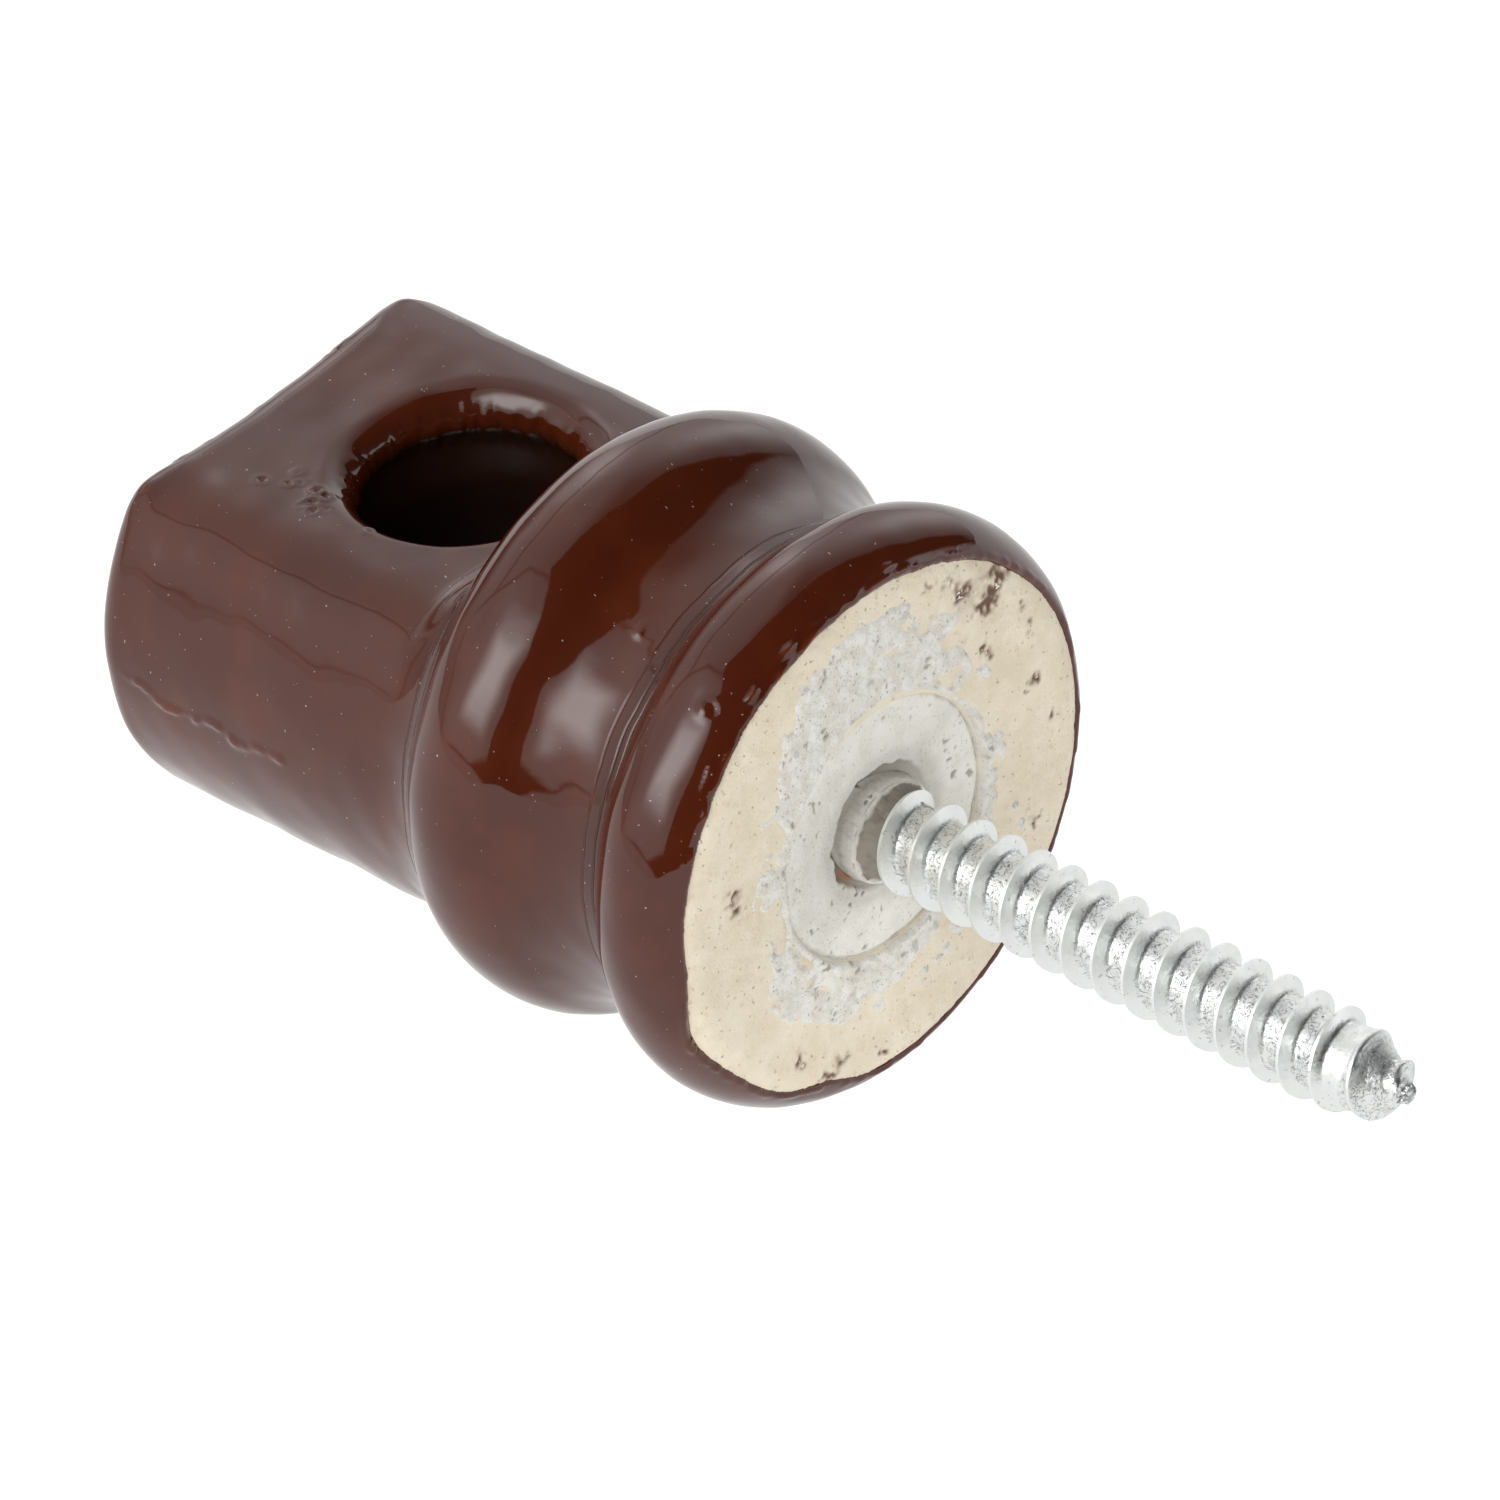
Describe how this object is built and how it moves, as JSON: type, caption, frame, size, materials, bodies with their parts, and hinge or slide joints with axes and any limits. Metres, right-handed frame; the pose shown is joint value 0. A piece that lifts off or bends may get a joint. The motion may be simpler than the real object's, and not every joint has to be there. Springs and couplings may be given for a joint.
{
  "type": "screw-in porcelain wireholder insulator",
  "caption": "Brown glazed porcelain wireholder with a flatted head, a wide wire hole across it, two round beads and a lag screw cemented into its bare base.",
  "frame": {"origin": "centre of the bare base face that bears on the timber, on the axis of the screw", "axes": "+X runs out of the base along the screw, +Z runs along the wire hole square to the flats of the head, +Y completes the frame across the head"},
  "size_m": [0.137, 0.0572, 0.0572],
  "materials": {
    "bare_porcelain": "unglazed fired bisque, matt cream with brown stains",
    "brown_glaze": "glossy chocolate-brown glaze, rippled and pinholed",
    "cement": "light grey setting cement, smooth disc with sandy edges",
    "zinc_plate": "bright zinc plate, lightly scratched"
  },
  "bodies": {
    "root": {"porcelain_body": "bare_porcelain", "glaze_coat": "brown_glaze", "cement_plug": "cement", "lag_screw": "zinc_plate"}
  },
  "joints": []
}
